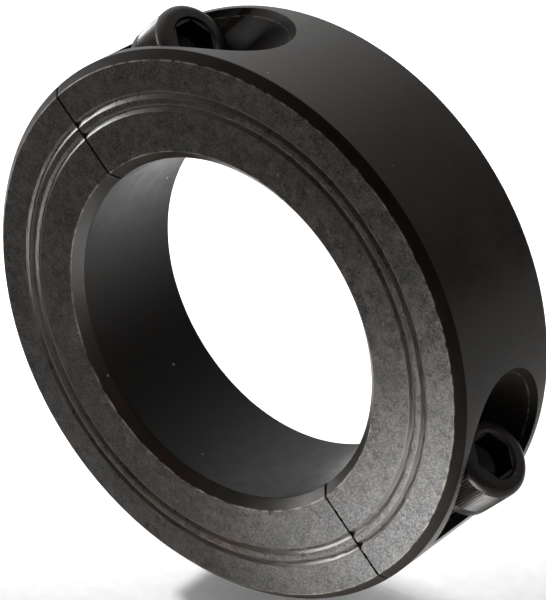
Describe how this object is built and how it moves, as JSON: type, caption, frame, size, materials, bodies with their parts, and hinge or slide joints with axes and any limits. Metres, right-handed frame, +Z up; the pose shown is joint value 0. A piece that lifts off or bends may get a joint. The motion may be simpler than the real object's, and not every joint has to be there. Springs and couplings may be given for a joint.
{
  "type": "shaft collar",
  "caption": "Two-piece clamp collar: a split steel ring with a grooved face, drawn round a shaft by cap screws with hexagonal sockets.",
  "frame": {"origin": "centre of the shaft bore, halfway across the ring's width", "axes": "+Y along the bore, away from the grooved face; +Z up, with the collar standing on its rim and the split at 45 degrees; the screw heads point along +X +Z"},
  "size_m": [0.0683, 0.0174, 0.0666],
  "materials": {
    "ring_black_oxide": "semi-gloss black oxide over turned steel",
    "screw_black_oxide": "satin black oxide over alloy steel"
  },
  "bodies": {
    "head_side_half": {"head_side_half": "ring_black_oxide"},
    "threaded_half": {"threaded_half": "ring_black_oxide"},
    "upper_screw": {"upper_screw": "screw_black_oxide"},
    "lower_screw": {"lower_screw": "screw_black_oxide"}
  },
  "joints": [
    {"name": "upper_screw_turn", "type": "hinge", "parent": "head_side_half", "child": "upper_screw", "pos_m": [-0.01995, 0, 0.01995], "axis": [0.7071, 0, 0.7071], "range_deg": [-90, 2700]},
    {"name": "lower_screw_turn", "type": "hinge", "parent": "head_side_half", "child": "lower_screw", "pos_m": [0.01995, 0, -0.01995], "axis": [0.7071, 0, 0.7071], "range_deg": [-90, 2700]},
    {"name": "halves_part", "type": "slide", "parent": "head_side_half", "child": "threaded_half", "axis": [-0.7071, 0, -0.7071], "range_m": [-0.00023, 0.0068]}
  ],
  "couplings": [
    {"joint": "upper_screw_turn", "follows": "halves_part", "rad_per_m": 6926.3},
    {"joint": "lower_screw_turn", "follows": "halves_part", "rad_per_m": 6926.3}
  ]
}
